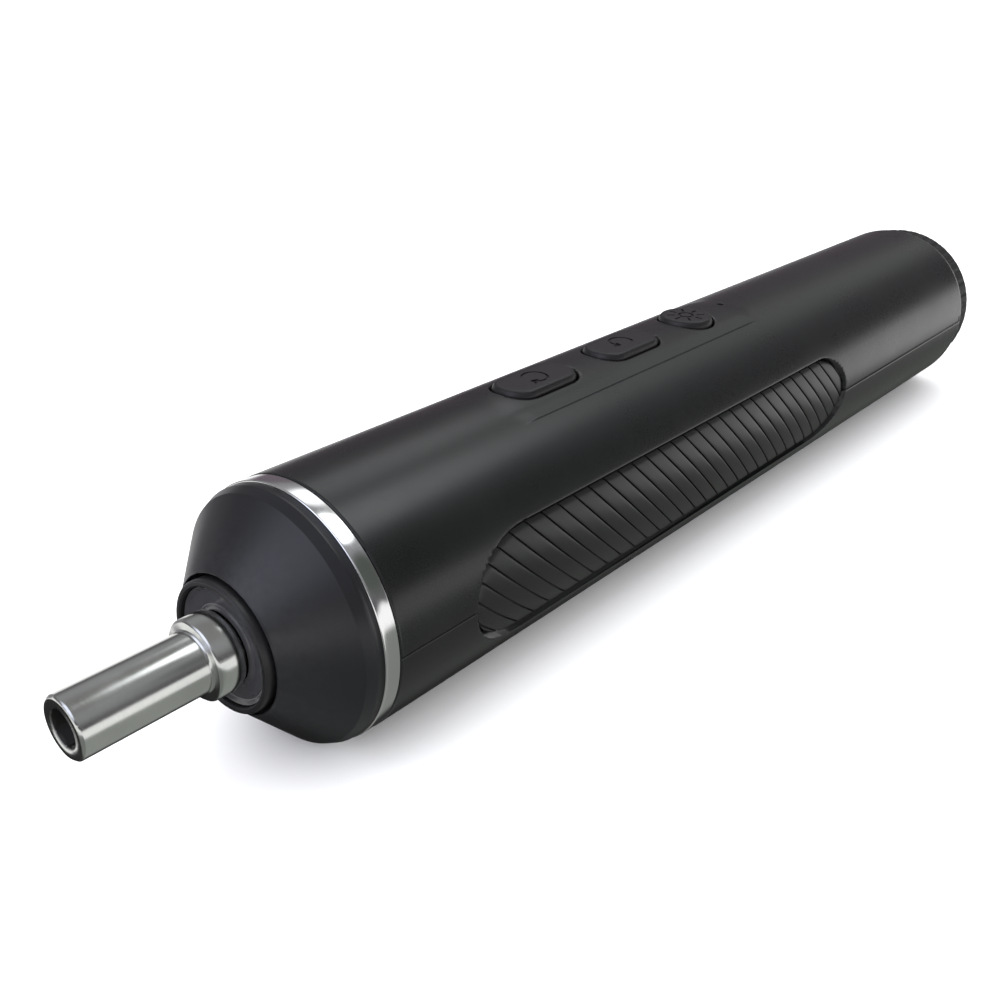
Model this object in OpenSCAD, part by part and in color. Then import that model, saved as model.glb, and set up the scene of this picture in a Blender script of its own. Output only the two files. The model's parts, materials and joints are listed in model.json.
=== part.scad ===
// Electric torque screwdriver with a two-stage planetary gearbox, a brushed motor,
// one lithium cell, three top buttons, a work light and a rear torque ring.
// Built along X: the bit socket points to -X, the torque ring is at +X, buttons face +Z.

/* [Body] */
// Outer diameter of the handle shells
body_d = 35; // [34.8:0.1:35.4]
// Position of the shells' rear end, measured from the front of the trim ring
body_len = 180; // [179:0.5:181]
// Shell wall thickness
wall = 2; // [1.8:0.1:2.1]
// Depth of the flat that the tool lies on
flat_depth = 0.3; // [0.2:0.05:0.4]
// Width of the bright trim ring
ring_w = 2.4; // [2:0.1:2.8]

/* [Nose] */
// How far the light bezel stands in front of the trim ring
nose_len = 10.3; // [10.1:0.1:10.6]
// Diameter of the spindle shank
shank_d = 7.9; // [7.6:0.1:8.2]
// Length from the trim ring to the spindle's front face
spindle_reach = 30.3; // [29:0.1:32]
// Diameter of the spindle collar
collar_d = 10.4; // [10:0.1:10.8]
// Hexagon socket size across flats
hex_af = 4.1; // [4.05:0.01:4.2]
// Depth of the hexagon socket
hex_depth = 12.5; // [11:0.5:12.5]

/* [Buttons] */
// Centre of the forward button along the body
forward_x = 47.6; // [47:0.1:48]
// Centre of the reverse button along the body
reverse_x = 69.4; // [69:0.1:70]
// Centre of the light button along the body
light_x = 88.6; // [88.3:0.1:88.8]
// Gap between a button and its opening
button_gap = 0.4; // [0.35:0.05:0.45]
// Height of the button tops above the body axis
button_top = 18.1; // [18:0.05:18.15]

/* [Grip] */
// Front tip of the grip inlays
grip_x0 = 16.3; // [16.1:0.1:16.5]
// Rear tip of the grip inlays
grip_x1 = 119.3; // [119:0.1:119.5]
// Half height of the grip inlays
grip_h = 7.45; // [7.3:0.05:7.6]
// Distance from one rib to the next
rib_pitch = 3.47; // [3.4:0.01:3.6]
// Width of the groove between two ribs
rib_gap = 0.3; // [0.2:0.05:0.4]

/* [Gearbox] */
// Gear module of both planetary stages
gear_m = 0.45; // [0.45:0.01:0.45]
// Pressure angle in degrees
gear_pa = 25; // [25:1:25]
// Thinning of each tooth for running play
gear_play = 0.07; // [0.06:0.01:0.09]

/* [Hidden] */
$fn = 72;
R = body_d/2;
RI = R - wall;
L = body_len;
FLOOR = R - flat_depth;
TAIL = L + 7;
// the whole tool is moved so that the middle of its box stands on the ground
SHIFT_X = (spindle_reach - TAIL)/2;
ZS = 12; ZP = 18; ZR = 48;
PR = gear_m*(ZS + ZP)/2;      // planet orbit radius
PB = gear_m*ZP/2;
BAT_Z = -2; BAT_R = 9.2; BAT_X = 97; BAT_L = 65;
PCB_Z = 11.3; PCB_T = 1;
BTN = [forward_x, reverse_x, light_x];
SCREW_X = [62.5, 168.5]; SCREW_Y = 10.5;
BOARD_X = [58.5, 79.6]; BOARD_Y = 6;
PIPE_X = 100.1;

// ---------- helpers ----------
module place() { translate([SHIFT_X, 0, FLOOR]) children(); }
// local x to Y, local y to Z, local z to X
module along(x) { translate([x, 0, 0]) rotate([90, 0, 90]) children(); }
module cx(x0, x1, r, y = 0, z = 0) { translate([0, y, z]) along(x0) cylinder(h = x1 - x0, r = r); }
module tube(x0, x1, ro, ri, y = 0, z = 0) {
  translate([0, y, z]) along(x0) difference() {
    cylinder(h = x1 - x0, r = ro);
    translate([0, 0, -1]) cylinder(h = x1 - x0 + 2, r = ri);
  }
}
// turned part from [radius, x] points
module turned(pts) { along(0) rotate_extrude() polygon(pts); }
module box(x0, x1, y0, y1, z0, z1) { translate([x0, y0, z0]) cube([x1 - x0, y1 - y0, z1 - z0]); }
module post(x, y, z0, z1, r) { translate([x, y, z0]) cylinder(h = z1 - z0, r = r); }
// rounded rectangle with exact corner arcs
module rrect(hl, hw, r) {
  square([2*hl, 2*(hw - r)], center = true);
  square([2*(hl - r), 2*hw], center = true);
  for (sx = [-1, 1], sy = [-1, 1]) translate([sx*(hl - r), sy*(hw - r)]) circle(r = r);
}
// wire: a round tube swept along a route whose corners are rounded off
function unit(v) = v/norm(v);
function corner(a, b, c, q) = [for (k = [0:3]) let (u = k/3, p0 = b + unit(a - b)*q, p2 = b + unit(c - b)*q)
  (1 - u)*(1 - u)*p0 + 2*u*(1 - u)*b + u*u*p2];
function smooth_route(p, q) = concat([p[0]],
  [for (i = [1:len(p) - 2]) each corner(p[i - 1], p[i], p[i + 1], min(q, norm(p[i] - p[i - 1])/2.2, norm(p[i + 1] - p[i])/2.2))],
  [p[len(p) - 1]]);
module wire(route, r, q = 1.5) {
  p = smooth_route(route, q); n = len(p); s = 10;
  t = [for (i = [0:n - 1]) unit(p[min(i + 1, n - 1)] - p[max(i - 1, 0)])];
  rings = [for (i = [0:n - 1]) let (u = unit(cross(t[i], [0, 1, 0.02])), v = cross(t[i], u))
    each [for (k = [0:s - 1]) p[i] + r*cos(360*k/s)*u + r*sin(360*k/s)*v]];
  polyhedron(rings, concat([[for (k = [0:s - 1]) k]],
    [for (i = [0:n - 2], k = [0:s - 1]) let (a = i*s + k, b = i*s + (k + 1)%s) each [[a, a + s, b + s], [a, b + s, b]]],
    [[for (k = [s - 1:-1:0]) (n - 1)*s + k]]));
}

// ---------- gears ----------
function inv(a) = tan(a)*180/PI - a;
function pol(r, a) = [r*cos(a), r*sin(a)];
function half_tooth(z, r, grow) = 90/z + grow*90/(PI*gear_m*z/2) + inv(gear_pa)
  - inv(acos(min(1, gear_m*z/2*cos(gear_pa)/r)));
function flank(z, rlo, rhi, n) = [for (k = [0:n]) rlo + (rhi - rlo)*k/n];
// closed outline of z teeth between root radius rf and tip radius ra
function tooth_ring(z, rf, ra, grow, phase) =
  let (rb = gear_m*z/2*cos(gear_pa), lo = max(rb, rf), rs = flank(z, lo, ra, 3))
  [for (i = [0:z - 1]) let (c = (i + phase)*360/z) each concat(
    rf < rb ? [pol(rf, c - half_tooth(z, lo, grow))] : [],
    [for (r = rs) pol(r, c - half_tooth(z, r, grow))],
    [for (k = [3:-1:0]) pol(rs[k], c + half_tooth(z, rs[k], grow))],
    rf < rb ? [pol(rf, c + half_tooth(z, lo, grow))] : [])];
module outer_gear(z, x0, x1, phase) {
  rp = gear_m*z/2;
  along(x0) linear_extrude(x1 - x0)
    polygon(tooth_ring(z, rp - 1.25*gear_m, rp + gear_m, -gear_play/2, phase));
}
module planet(x0, x1, a) {
  rotate([a, 0, 0]) translate([0, PR, 0]) difference() {
    outer_gear(ZP, x0, x1, 0.5);
    cx(x0 - 1, x1 + 1, 1.06);
  }
}

// ---------- housing ----------
module shell_outer() {
  turned([[0, ring_w], [R - 0.2, ring_w], [R, ring_w + 0.2], [R, L - 1.8], [R - 0.2, L - 1],
    [R - 0.6, L - 0.4], [R - 1.2, L - 0.1], [R - 1.6, L], [0, L]]);
}
// everything below the plane through p with normal n
module below(p, n) {
  translate(p) rotate([0, acos(n.z/norm(n)), atan2(n.y, n.x)]) translate([-90, -90, -60]) cube([180, 180, 60]);
}
// raised panel round the buttons: a flatter crown whose corners run out in four facets
module plateau() {
  intersection() {
    cx(28, 106, 20.6, 0, 17.6 - 20.6 + (R - 17.5));
    along(20) linear_extrude(100) polygon([[-7.5, 12], [7.5, 12], [7.35, 15.8], [7.2, 16.3], [7.1, 18.5], [-7.1, 18.5], [-7.2, 16.3], [-7.35, 15.8]]);
    translate([0, 20, 0]) rotate([90, 0, 0]) linear_extrude(40)
      polygon([[28, 12], [28, 17.4], [42, 17.65], [97, 17.65], [105.7, 17.3], [105.7, 12]]);
    for (s = [-1, 1]) {
      below([36.1, s*4.5, 17.1], [-0.0251, s*0.3146, 0.9489]);
      below([98, s*7.2, 16.3], [0.075, s*0.3214, 0.944]);
    }
  }
}
module grip_outline(grow) {
  n = 16; x0 = grip_x0; x1 = grip_x1; a0 = 10.3; a1 = 9;
  polygon(concat(
    [for (i = [0:n]) let (t = 90 + 180*i/n) [x0 + a0 + (a0 + grow)*cos(t), (grip_h + grow)*sin(t)]],
    [for (i = [0:n]) let (t = -90 + 180*i/n) [x1 - a1 + (a1 + grow)*cos(t), (grip_h + grow)*sin(t)]]));
}
// grip prism on one side: s = -1 near side, 1 far side
module grip_prism(s, grow) {
  if (s < 0) rotate([90, 0, 0]) linear_extrude(R + 2) grip_outline(grow);
  else translate([0, R + 2, 0]) rotate([90, 0, 0]) linear_extrude(R + 2) grip_outline(grow);
}
module grip_recess(s) {
  intersection() { tube(10, 125, R + 1, 16.3); grip_prism(s, 0.6); }
}
module parting_groove() {
  for (s = [-1, 1]) along(ring_w - 1) linear_extrude(L + 2)
    polygon([[s*(R + 0.3), -0.33], [s*(R + 0.3), 0.33], [s*(R - 0.3), 0]]);
}
module shell_cut() {
  // main cavity, open at the front
  cx(ring_w - 1, L - 2.5, RI);
  // hole for the tail hub
  cx(L - 4, L + 1, 12.1);
  for (s = [-1, 1]) grip_recess(s);
  parting_groove();
}
module lead_channel() { box(3, 36, -1.3, 1.3, 13.1, RI + 0.1); }

module upper_shell() {
  color("#2b2c2e") place() difference() {
    union() {
      difference() {
        intersection() { union() { shell_outer(); plateau(); } box(0, L + 5, -20, 20, 0, 25); }
        shell_cut();
        // flat ceilings over the button flanges
        for (x = BTN) box(x - 8.9, x + 8.9, -6.4, 6.4, 13, 14.95);
      }
      // saddle ribs over the gearbox and the motor
      intersection() {
        cx(3, L - 2, RI + 0.2);
        box(0, L, -20, 20, 0.05, 11);
        union() {
          for (x = [13, 20.5]) tube(x, x + 1.5, 16, 13.45);
          for (x = [30, 48]) tube(x, x + 1.5, 16, 11.05);
        }
      }
      // screw bosses
      intersection() {
        cx(3, L - 2, RI + 0.2);
        union() {
          for (x = SCREW_X, s = [-1, 1]) {
            post(x, s*SCREW_Y, 0.05, 16, 2.1);
            box(x - 0.6, x + 0.6, s > 0 ? SCREW_Y : -16, s > 0 ? 16 : -SCREW_Y, 0.05, 9);
          }
          for (x = BOARD_X, s = [-1, 1]) post(x, s*BOARD_Y, PCB_Z + PCB_T, 18, 2);
        }
      }
    }
    for (x = SCREW_X, s = [-1, 1]) post(x, s*SCREW_Y, -1, 7.6, 1.02);
    for (x = BOARD_X, s = [-1, 1]) post(x, s*BOARD_Y, 12, 14.6, 0.72);
    lead_channel();
    // button openings
    for (x = [forward_x, reverse_x]) translate([x, 0, 12]) linear_extrude(8)
      rrect(7.4 + button_gap, 3.75 + button_gap, 3.7);
    post(light_x, 0, 12, 20, 4.6 + button_gap);
    // indicator hole and the small step at the tail of the parting line
    post(PIPE_X, 0, 12, 20, 0.62);
    for (s = [-1, 1]) box(L - 2.6, L - 2.3, s > 0 ? R - 0.3 : -R - 1, s > 0 ? R + 1 : -R + 0.3, -0.1, 1.3);
  }
}

module lower_shell() {
  color("#27282a") place() difference() {
    union() {
      difference() {
        intersection() { shell_outer(); box(0, L + 5, -20, 20, -FLOOR, 0); }
        shell_cut();
      }
      intersection() {
        cx(3, L - 2, RI + 0.2);
        box(0, L, -20, 20, -20, -0.05);
        union() {
          for (x = [13, 20.5]) tube(x, x + 1.5, 16, 13.45);
          for (x = [30, 48]) tube(x, x + 1.5, 16, 11.05);
          for (x = SCREW_X, s = [-1, 1]) post(x, s*SCREW_Y, -16, -0.05, 2.9);
        }
      }
    }
    for (x = SCREW_X, s = [-1, 1]) {
      post(x, s*SCREW_Y, -20, 1, 1.1);
      post(x, s*SCREW_Y, -20, -9, 2.1);
    }
  }
}

module nose_cone() {
  n = -nose_len;
  color("#23252a") place() difference() {
    turned([[9.15, n + 1.1], [9.3, n + 1.1], [9.5, n + 1.35], [16.6, -2.4], [17, -1.8], [17.2, -1.1], [17.2, 0],
      [15.4, 0], [15.4, 9], [13.5, 9], [13.5, 1], [7, 1], [7, -4.8], [5.6, -4.8], [5.6, -6.4],
      [8.75, -6.4], [8.75, n + 1.9], [9.15, n + 1.9]]);
    // way for the light's lead
    cx(-8, -4.9, 0.9, 0, 7.6);
    cx(-5, 2, 0.5, 0, 7.75);
    box(-0.6, 2, -0.5, 0.5, 7.5, 9.3);
    box(1, 10, -1.3, 1.3, 13, 16);
  }
}
module trim_ring() {
  color("#c9ccce") place() difference() {
    turned([[15.42, 0.02], [R - 0.25, 0.02], [R - 0.08, 0.2], [R - 0.08, ring_w - 0.2], [R - 0.25, ring_w - 0.02], [15.42, ring_w - 0.02]]);
    box(-1, 5, -10, 10, -R - 1, -FLOOR);
  }
}
module front_bezel() {
  n = -nose_len;
  color("#17181a") place() turned([[7.95, n], [8.45, n], [8.65, n + 0.25], [8.65, -6.42], [8.0, -6.42], [8.0, n + 1.8], [7.75, n + 1.6], [7.75, n + 0.15]]);
}
module light_lens() {
  n = -nose_len;
  color([0.25, 0.26, 0.28, 0.8]) place() turned([[4.7, n + 0.55], [7.7, n + 0.55], [7.7, n + 1.65], [7.95, n + 1.85], [7.95, n + 2.1], [4.7, n + 2.1]]);
}
module led_board() {
  color("#20563a") place() {
    difference() {
      tube(-7.4, -6.45, 7.9, 4.9);
      cx(-8, -6, 0.5, 0, 7.15);
    }
    for (a = [30:60:330]) rotate([a, 0, 0]) box(-8.05, -7.4, -0.8, 0.8, 5.9, 6.9);
  }
}

// ---------- spindle group ----------
module bearing_ring(ri, ro, x0, x1) {
  difference() {
    tube(x0, x1, ro, ri);
    along((x0 + x1)/2) rotate_extrude() translate([5.25, 0]) circle(r = 1.05, $fn = 32);
  }
}
module front_bearing_outer() { color("#b8bcc0") place() bearing_ring(5.85, 6.98, -4.75, 0.25); }
module front_bearing_inner() { color("#b8bcc0") place() bearing_ring(3.5, 4.65, -4.75, 0.25); }
module front_bearing_balls() {
  color("#d8dadc") place() for (a = [0:45:315]) rotate([a, 0, 0]) translate([-2.25, 0, 5.25]) sphere(r = 0.98, $fn = 32);
}
module spindle_seal() { color("#151515") place() tube(-6.3, -4.85, 5.58, 3.56); }
module spindle() {
  f = -spindle_reach; rs = shank_d/2; rc = collar_d/2;
  color("#b9bec2") place() difference() {
    union() {
      turned([[0, f], [rs - 0.35, f], [rs, f + 0.35], [rs, -14.2], [rs + 0.2, -13.9], [rc - 0.35, -13.9], [rc, -13.55],
        [rc, -10.8], [rc - 0.1, -10.35], [rc - 0.35, -10.1], [4.5, -10], [4.5, -9], [4, -8.6], [4, -6.6], [3.5, -6.5],
        [3.5, 0.4], [3.15, 0.4], [3.15, 0.95], [3.5, 0.95], [3.5, 5.9], [0, 5.9]]);
      // double flat that drives through the carrier
      intersection() { cx(5, 9.7, 3); box(5, 9.7, -4, 4, -2.4, 2.4); }
    }
    // hexagon socket with a lead-in and the magnet's seat
    along(f - 1) rotate([0, 0, 30]) cylinder(h = hex_depth + 1, r = hex_af/sqrt(3), $fn = 6);
    along(f - 0.01) cylinder(h = 0.45, r1 = hex_af/sqrt(3) + 0.25, r2 = hex_af/sqrt(3) - 0.25);
    cx(f + hex_depth - 0.5, f + hex_depth + 3, 2);
  }
}
module bit_magnet() { f = -spindle_reach; color("#8d9094") place() cx(f + hex_depth + 0.4, f + hex_depth + 2.95, 1.97); }
module spindle_circlip() {
  color("#55585c") place() difference() {
    tube(0.45, 0.9, 4.7, 3.18);
    box(0, 1.5, -0.9, 0.9, -6, 0);
  }
}

// ---------- gearbox ----------
module gearbox_front_plate() {
  color("#8f9498") place() difference() {
    tube(2, 5, 13.4, 5);
    for (a = [60, 180, 300]) rotate([a, 0, 0]) { cx(1, 6, 0.75, 12.42); along(1.98) translate([12.42, 0, 0]) cylinder(h = 0.9, r1 = 1.2, r2 = 0.7); }
    // relief that lets the light's lead pass over the edge
    box(1, 6, -1.3, 1.3, 13, 14);
  }
}
module output_bush() { color("#b08d4f") place() tube(1.6, 5, 4.98, 3.54); }
module ring_gear() {
  color("#9b9486") place() along(5) linear_extrude(18) difference() {
    circle(r = 13.4, $fn = 96);
    polygon(tooth_ring(ZR, gear_m*ZR/2 - gear_m, gear_m*ZR/2 + 1.25*gear_m, gear_play/2, 0.5));
    for (a = [60, 180, 300]) rotate(a) translate([12.42, 0]) circle(r = 0.73, $fn = 24);
  }
}
module gearbox_screws() {
  color("#6f7377") place() for (a = [60, 180, 300]) rotate([a, 0, 0]) difference() {
    union() {
      cx(2.05, 24.4, 0.68, 12.42);
      along(2.05) translate([12.42, 0, 0]) cylinder(h = 0.7, r1 = 1.04, r2 = 0.68);
    }
    box(1.5, 2.35, 11.7, 13.15, -0.18, 0.18);
  }
}
module stage2_carrier() {
  color("#a7a9ab") place() difference() {
    union() {
      cx(7.6, 10.1, 9.3);
      cx(6.2, 7.7, 5.6);
      for (a = [0, 120, 240]) rotate([a, 0, 0]) cx(10, 15, 1, PR);
    }
    // double-D hole for the spindle
    intersection() { cx(6, 10.3, 3.05); box(6, 10.3, -4, 4, -2.45, 2.45); }
    for (a = [60, 180, 300]) rotate([a, 0, 0]) cx(7, 11, 1.6, 6.2);
  }
}
module stage2_planet_a() { color("#c2a35a") place() planet(10.4, 14.8, 0); }
module stage2_planet_b() { color("#c2a35a") place() planet(10.4, 14.8, 120); }
module stage2_planet_c() { color("#c2a35a") place() planet(10.4, 14.8, 240); }
module stage1_carrier() {
  color("#a7a9ab") place() {
    difference() {
      cx(15.2, 17.5, 9.3);
      for (a = [60, 180, 300]) rotate([a, 0, 0]) cx(15, 18, 1.6, 6.2);
    }
    outer_gear(ZS, 10.3, 15.3, 0);
    for (a = [0, 120, 240]) rotate([a, 0, 0]) cx(17.4, 22, 1, PR);
  }
}
module stage1_planet_a() { color("#c2a35a") place() planet(17.8, 21.8, 0); }
module stage1_planet_b() { color("#c2a35a") place() planet(17.8, 21.8, 120); }
module stage1_planet_c() { color("#c2a35a") place() planet(17.8, 21.8, 240); }

// ---------- motor ----------
module motor_plate() {
  color("#8f9498") place() difference() {
    tube(23, 25.5, 13.4, 3.3);
    for (a = [60, 180, 300]) rotate([a, 0, 0]) cx(22, 24.6, 0.7, 12.42);
    for (s = [-1, 1]) { cx(22, 26, 0.85, 0, s*6.5); cx(22, 24, 1.7, 0, s*6.5); }
  }
}
module motor_plate_screws() {
  color("#6f7377") place() for (s = [-1, 1]) difference() {
    union() { cx(23.1, 24, 1.6, 0, s*6.5); cx(23.9, 26.9, 0.78, 0, s*6.5); }
    box(22.9, 23.5, -1.2, 1.2, s*6.5 - 0.2, s*6.5 + 0.2);
    box(22.9, 23.5, -0.2, 0.2, s*6.5 - 1.2, s*6.5 + 1.2);
  }
}
module motor_can() {
  color("#a9adb0") place() difference() {
    turned([[1.04, 24.4], [3.2, 24.4], [3.2, 25.5], [10.6, 25.5], [11, 25.9], [11, 53.5], [10.3, 53.5], [10.3, 27.1],
      [3.2, 27.1], [3.2, 28.6], [1.04, 28.6]]);
    for (s = [-1, 1]) cx(25, 28, 0.8, 0, s*6.5);
    for (s = [-1, 1]) box(48.5, 51.5, s > 0 ? 10 : -12, s > 0 ? 12 : -10, -2, 2);
  }
}
module motor_magnets() {
  color("#4b4d50") place() difference() { tube(30, 47, 10.28, 8.5); box(29, 48, -12, 12, -3.2, 3.2); }
}
module motor_endbell() {
  color("#3a3b3d") place() difference() {
    turned([[1.04, 51.9], [2.4, 51.9], [2.4, 53.6], [9.6, 53.6], [10.25, 52.2], [10.28, 53.5], [11, 53.5], [11, 54.4], [10, 55.3], [1.04, 55.3]]);
    for (s = [-1, 1]) box(52, 56, s*6 - 1.1, s*6 + 1.1, -0.35, 0.35);
    for (a = [45:90:315]) rotate([a, 0, 0]) cx(53, 56, 0.8, 7.8);
  }
}
module motor_terminals() {
  color("#c9a54b") place() for (s = [-1, 1]) {
    box(51.6, 58, s*6 - 1, s*6 + 1, -0.25, 0.25);
    // brush arm and carbon brush
    box(51.2, 51.7, s > 0 ? 3.0 : -7, s > 0 ? 7 : -3.0, -0.8, 0.8);
    box(49.7, 51.25, s > 0 ? 2.75 : -4.4, s > 0 ? 4.4 : -2.75, -0.8, 0.8);
  }
}
module armature() {
  color("#8b8f94") place() {
    difference() {
      union() {
        along(30.6) linear_extrude(15.6) difference() {
          circle(r = 8);
          for (a = [0:72:288]) rotate(a) { translate([5.5, 0]) circle(r = 1.75, $fn = 32); translate([6, -0.5]) square([3, 1]); }
        }
        // commutator
        cx(48.2, 51.4, 2.6);
      }
      for (a = [0:72:288]) rotate([a, 0, 0]) box(48, 51.6, 2.2, 3, -0.12, 0.12);
    }
    // shaft
    cx(17.7, 56.4, 1);
  }
}
module armature_windings() {
  color("#b8642e") place() difference() {
    union() {
      for (a = [0:72:288]) rotate([a, 0, 0]) cx(29.4, 47.6, 1.6, 5.5);
      tube(29.2, 30.6, 7.3, 3.2);
      tube(46.2, 47.8, 7.3, 3.2);
    }
    cx(29, 48, 2.8);
  }
}
module motor_pinion() {
  color("#c2a35a") place() difference() { outer_gear(ZS, 17.9, 22.6, 0); cx(17, 24, 1); }
}

// ---------- electronics ----------
module main_board() {
  color("#1f5a3c") place() difference() {
    box(36.5, 106, -8, 8, PCB_Z, PCB_Z + PCB_T);
    for (x = BOARD_X, s = [-1, 1]) post(x, s*BOARD_Y, 10, 14, 0.85);
  }
}
module tact_switches() {
  color("#3b3d40") place() for (x = BTN) {
    box(x - 2.25, x + 2.25, -2.25, 2.25, PCB_Z + PCB_T, 13.1);
    post(x, 0, 13, 13.22, 0.9);
  }
}
module board_parts() {
  z = PCB_Z;
  color("#26272a") place() {
    // controller and motor driver under the board
    box(64, 70, -3, 3, z - 0.9, z);
    box(84, 89, -2.5, 2.5, z - 0.9, z);
    for (y = [-6.4, 4.4]) box(72, 75, y, y + 2, z - 0.8, z);
    // lying capacitor
    cx(70, 81, 3, 0, z - 4.2);
    box(70.5, 72, -1.4, 1.4, z - 1.4, z);
    // lead sockets
    for (x = [60.8, 92]) box(x, x + 3, -3.2, 3.2, z - 3, z);
    // indicator lamp under its light pipe
    box(PIPE_X - 0.8, PIPE_X + 0.8, -0.6, 0.6, z + PCB_T, z + PCB_T + 0.5);
  }
}
module board_screws() {
  color("#9a9da0") place() for (x = BOARD_X, s = [-1, 1]) difference() {
    union() { post(x, s*BOARD_Y, PCB_Z - 1.1, PCB_Z, 1.5); post(x, s*BOARD_Y, PCB_Z - 0.1, 14.4, 0.7); }
    box(x - 1.1, x + 1.1, s*BOARD_Y - 0.2, s*BOARD_Y + 0.2, PCB_Z - 2, PCB_Z - 0.6);
    box(x - 0.2, x + 0.2, s*BOARD_Y - 1.1, s*BOARD_Y + 1.1, PCB_Z - 2, PCB_Z - 0.6);
  }
}
module indicator_light_pipe() {
  color([0.1, 0.1, 0.1]) place() { post(PIPE_X, 0, 13.2, R - 0.35, 0.59); post(PIPE_X, 0, 13.1, 13.7, 1.1); }
}

// ---------- buttons ----------
module arrow_icon(dir) {
  // two quarter-turn arcs with heads
  for (k = [0, 180]) rotate(k) {
    difference() {
      circle(r = 2.15, $fn = 48);
      circle(r = 1.75, $fn = 48);
      translate([-3, -3]) square([6, 3]);
      rotate(40) translate([-3, -3]) square([6, 3]);
    }
    a = dir > 0 ? 180 : 40;
    rotate(a) translate([1.95, 0]) rotate(dir > 0 ? 90 : -90) polygon([[0, -0.7], [0.9, 0], [0, 0.7]]);
  }
}
module key_cap(x, dir) {
  translate([x, 0, 0]) {
    difference() {
      union() {
        translate([0, 0, 14]) linear_extrude(button_top - 0.5 - 14) rrect(7.4, 3.75, 3.4);
        translate([0, 0, button_top - 0.55]) linear_extrude(0.3) rrect(7.2, 3.55, 3.2);
        translate([0, 0, button_top - 0.3]) linear_extrude(0.3) rrect(6.95, 3.3, 2.95);
      }
      translate([0, 0, button_top - 0.18]) linear_extrude(1) arrow_icon(dir);
    }
    // flange that keeps the button in, and the plunger over its switch
    translate([0, 0, 14]) linear_extrude(0.75) rrect(8.35, 4.8, 3.9);
    post(0, 0, 13.9, 14.4, 1.4);
  }
}
module forward_button() { color("#2c282c") place() key_cap(forward_x, 1); }
module reverse_button() { color("#2c282c") place() key_cap(reverse_x, -1); }
module light_button() {
  t = button_top;
  color("#2c282c") place() translate([light_x, 0, 0]) {
    difference() {
      union() {
        post(0, 0, 14, t - 0.5, 4.6);
        translate([0, 0, t - 0.55]) cylinder(h = 0.55, r1 = 4.6, r2 = 4.1);
      }
      translate([0, 0, t - 0.18]) linear_extrude(1) {
        difference() { circle(r = 1.35, $fn = 40); circle(r = 0.95, $fn = 40); }
        for (a = [0:45:315]) rotate(a) translate([1.95, -0.18]) square([1.3, 0.36]);
      }
    }
    translate([0, 0, 14]) linear_extrude(0.75) circle(r = 5.6);
    post(0, 0, 13.9, 14.4, 1.4);
  }
}

// ---------- grips ----------
// one groove between two ribs: a thin, gently curved slot that leans back towards its lower end
function groove_x(z) = 0.907*(6 - z) + 0.0163*(6 - z)*(6 - z);
module rib_slot(x) {
  zs = [9, 5, 1, -3, -7, -9];
  rotate([90, 0, 0]) linear_extrude(2*R, center = true) polygon(concat(
    [for (z = zs) [x + groove_x(z) - rib_gap*0.75, z]],
    [for (k = [5:-1:0]) [x + groove_x(zs[k]) + rib_gap*0.75, zs[k]]]));
}
module ribbed_sleeve() {
  n = ceil((grip_x1 - grip_x0 + 20)/rib_pitch);
  difference() {
    turned([[16.32, grip_x0 - 2], [17, grip_x0 - 2], [17, grip_x1 + 2], [16.32, grip_x1 + 2]]);
    difference() {
      for (i = [0:n]) rib_slot(grip_x0 - 15.34 + i*rib_pitch);
      cx(0, 150, 16.5);
    }
  }
}
module grip_inlay_left() { color("#202123") place() intersection() { ribbed_sleeve(); grip_prism(-1, 0); } }
module grip_inlay_right() { color("#202123") place() intersection() { ribbed_sleeve(); grip_prism(1, 0); } }

// ---------- battery ----------
module battery_cell() {
  color("#2f6f9f") place() translate([0, 0, BAT_Z]) turned([[0, BAT_X - 0.9], [2.8, BAT_X - 0.9], [2.8, BAT_X], [8.6, BAT_X],
    [BAT_R, BAT_X + 0.5], [BAT_R, BAT_X + BAT_L - 0.5], [8.7, BAT_X + BAT_L], [0, BAT_X + BAT_L]]);
}
module battery_tabs() {
  color("#c6c8c9") place() {
    box(BAT_X - 1.15, BAT_X - 0.92, -3, 3, BAT_Z - 4, BAT_Z + 10);
    box(BAT_X + BAT_L + 0.02, BAT_X + BAT_L + 0.25, -3, 3, BAT_Z - 4, BAT_Z + 10);
  }
}
module battery_cradle() {
  x1 = BAT_X + BAT_L;
  color("#303133") place() difference() {
    union() {
      intersection() { tube(BAT_X - 1.5, x1 + 1.5, 10.9, 9.35, 0, BAT_Z); box(80, 180, -20, 20, -20, BAT_Z); }
      for (x = [BAT_X + 3, BAT_X + 30, BAT_X + 58]) difference() {
        intersection() { cx(x, x + 1.6, RI - 0.05); box(80, 180, -14.2, 14.2, -20, BAT_Z); }
        cx(x - 1, x + 3, 10, 0, BAT_Z);
      }
    }
    for (x = [BAT_X + 14, BAT_X + 44]) box(x, x + 9, -5, 5, -20, -6);
  }
}

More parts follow.
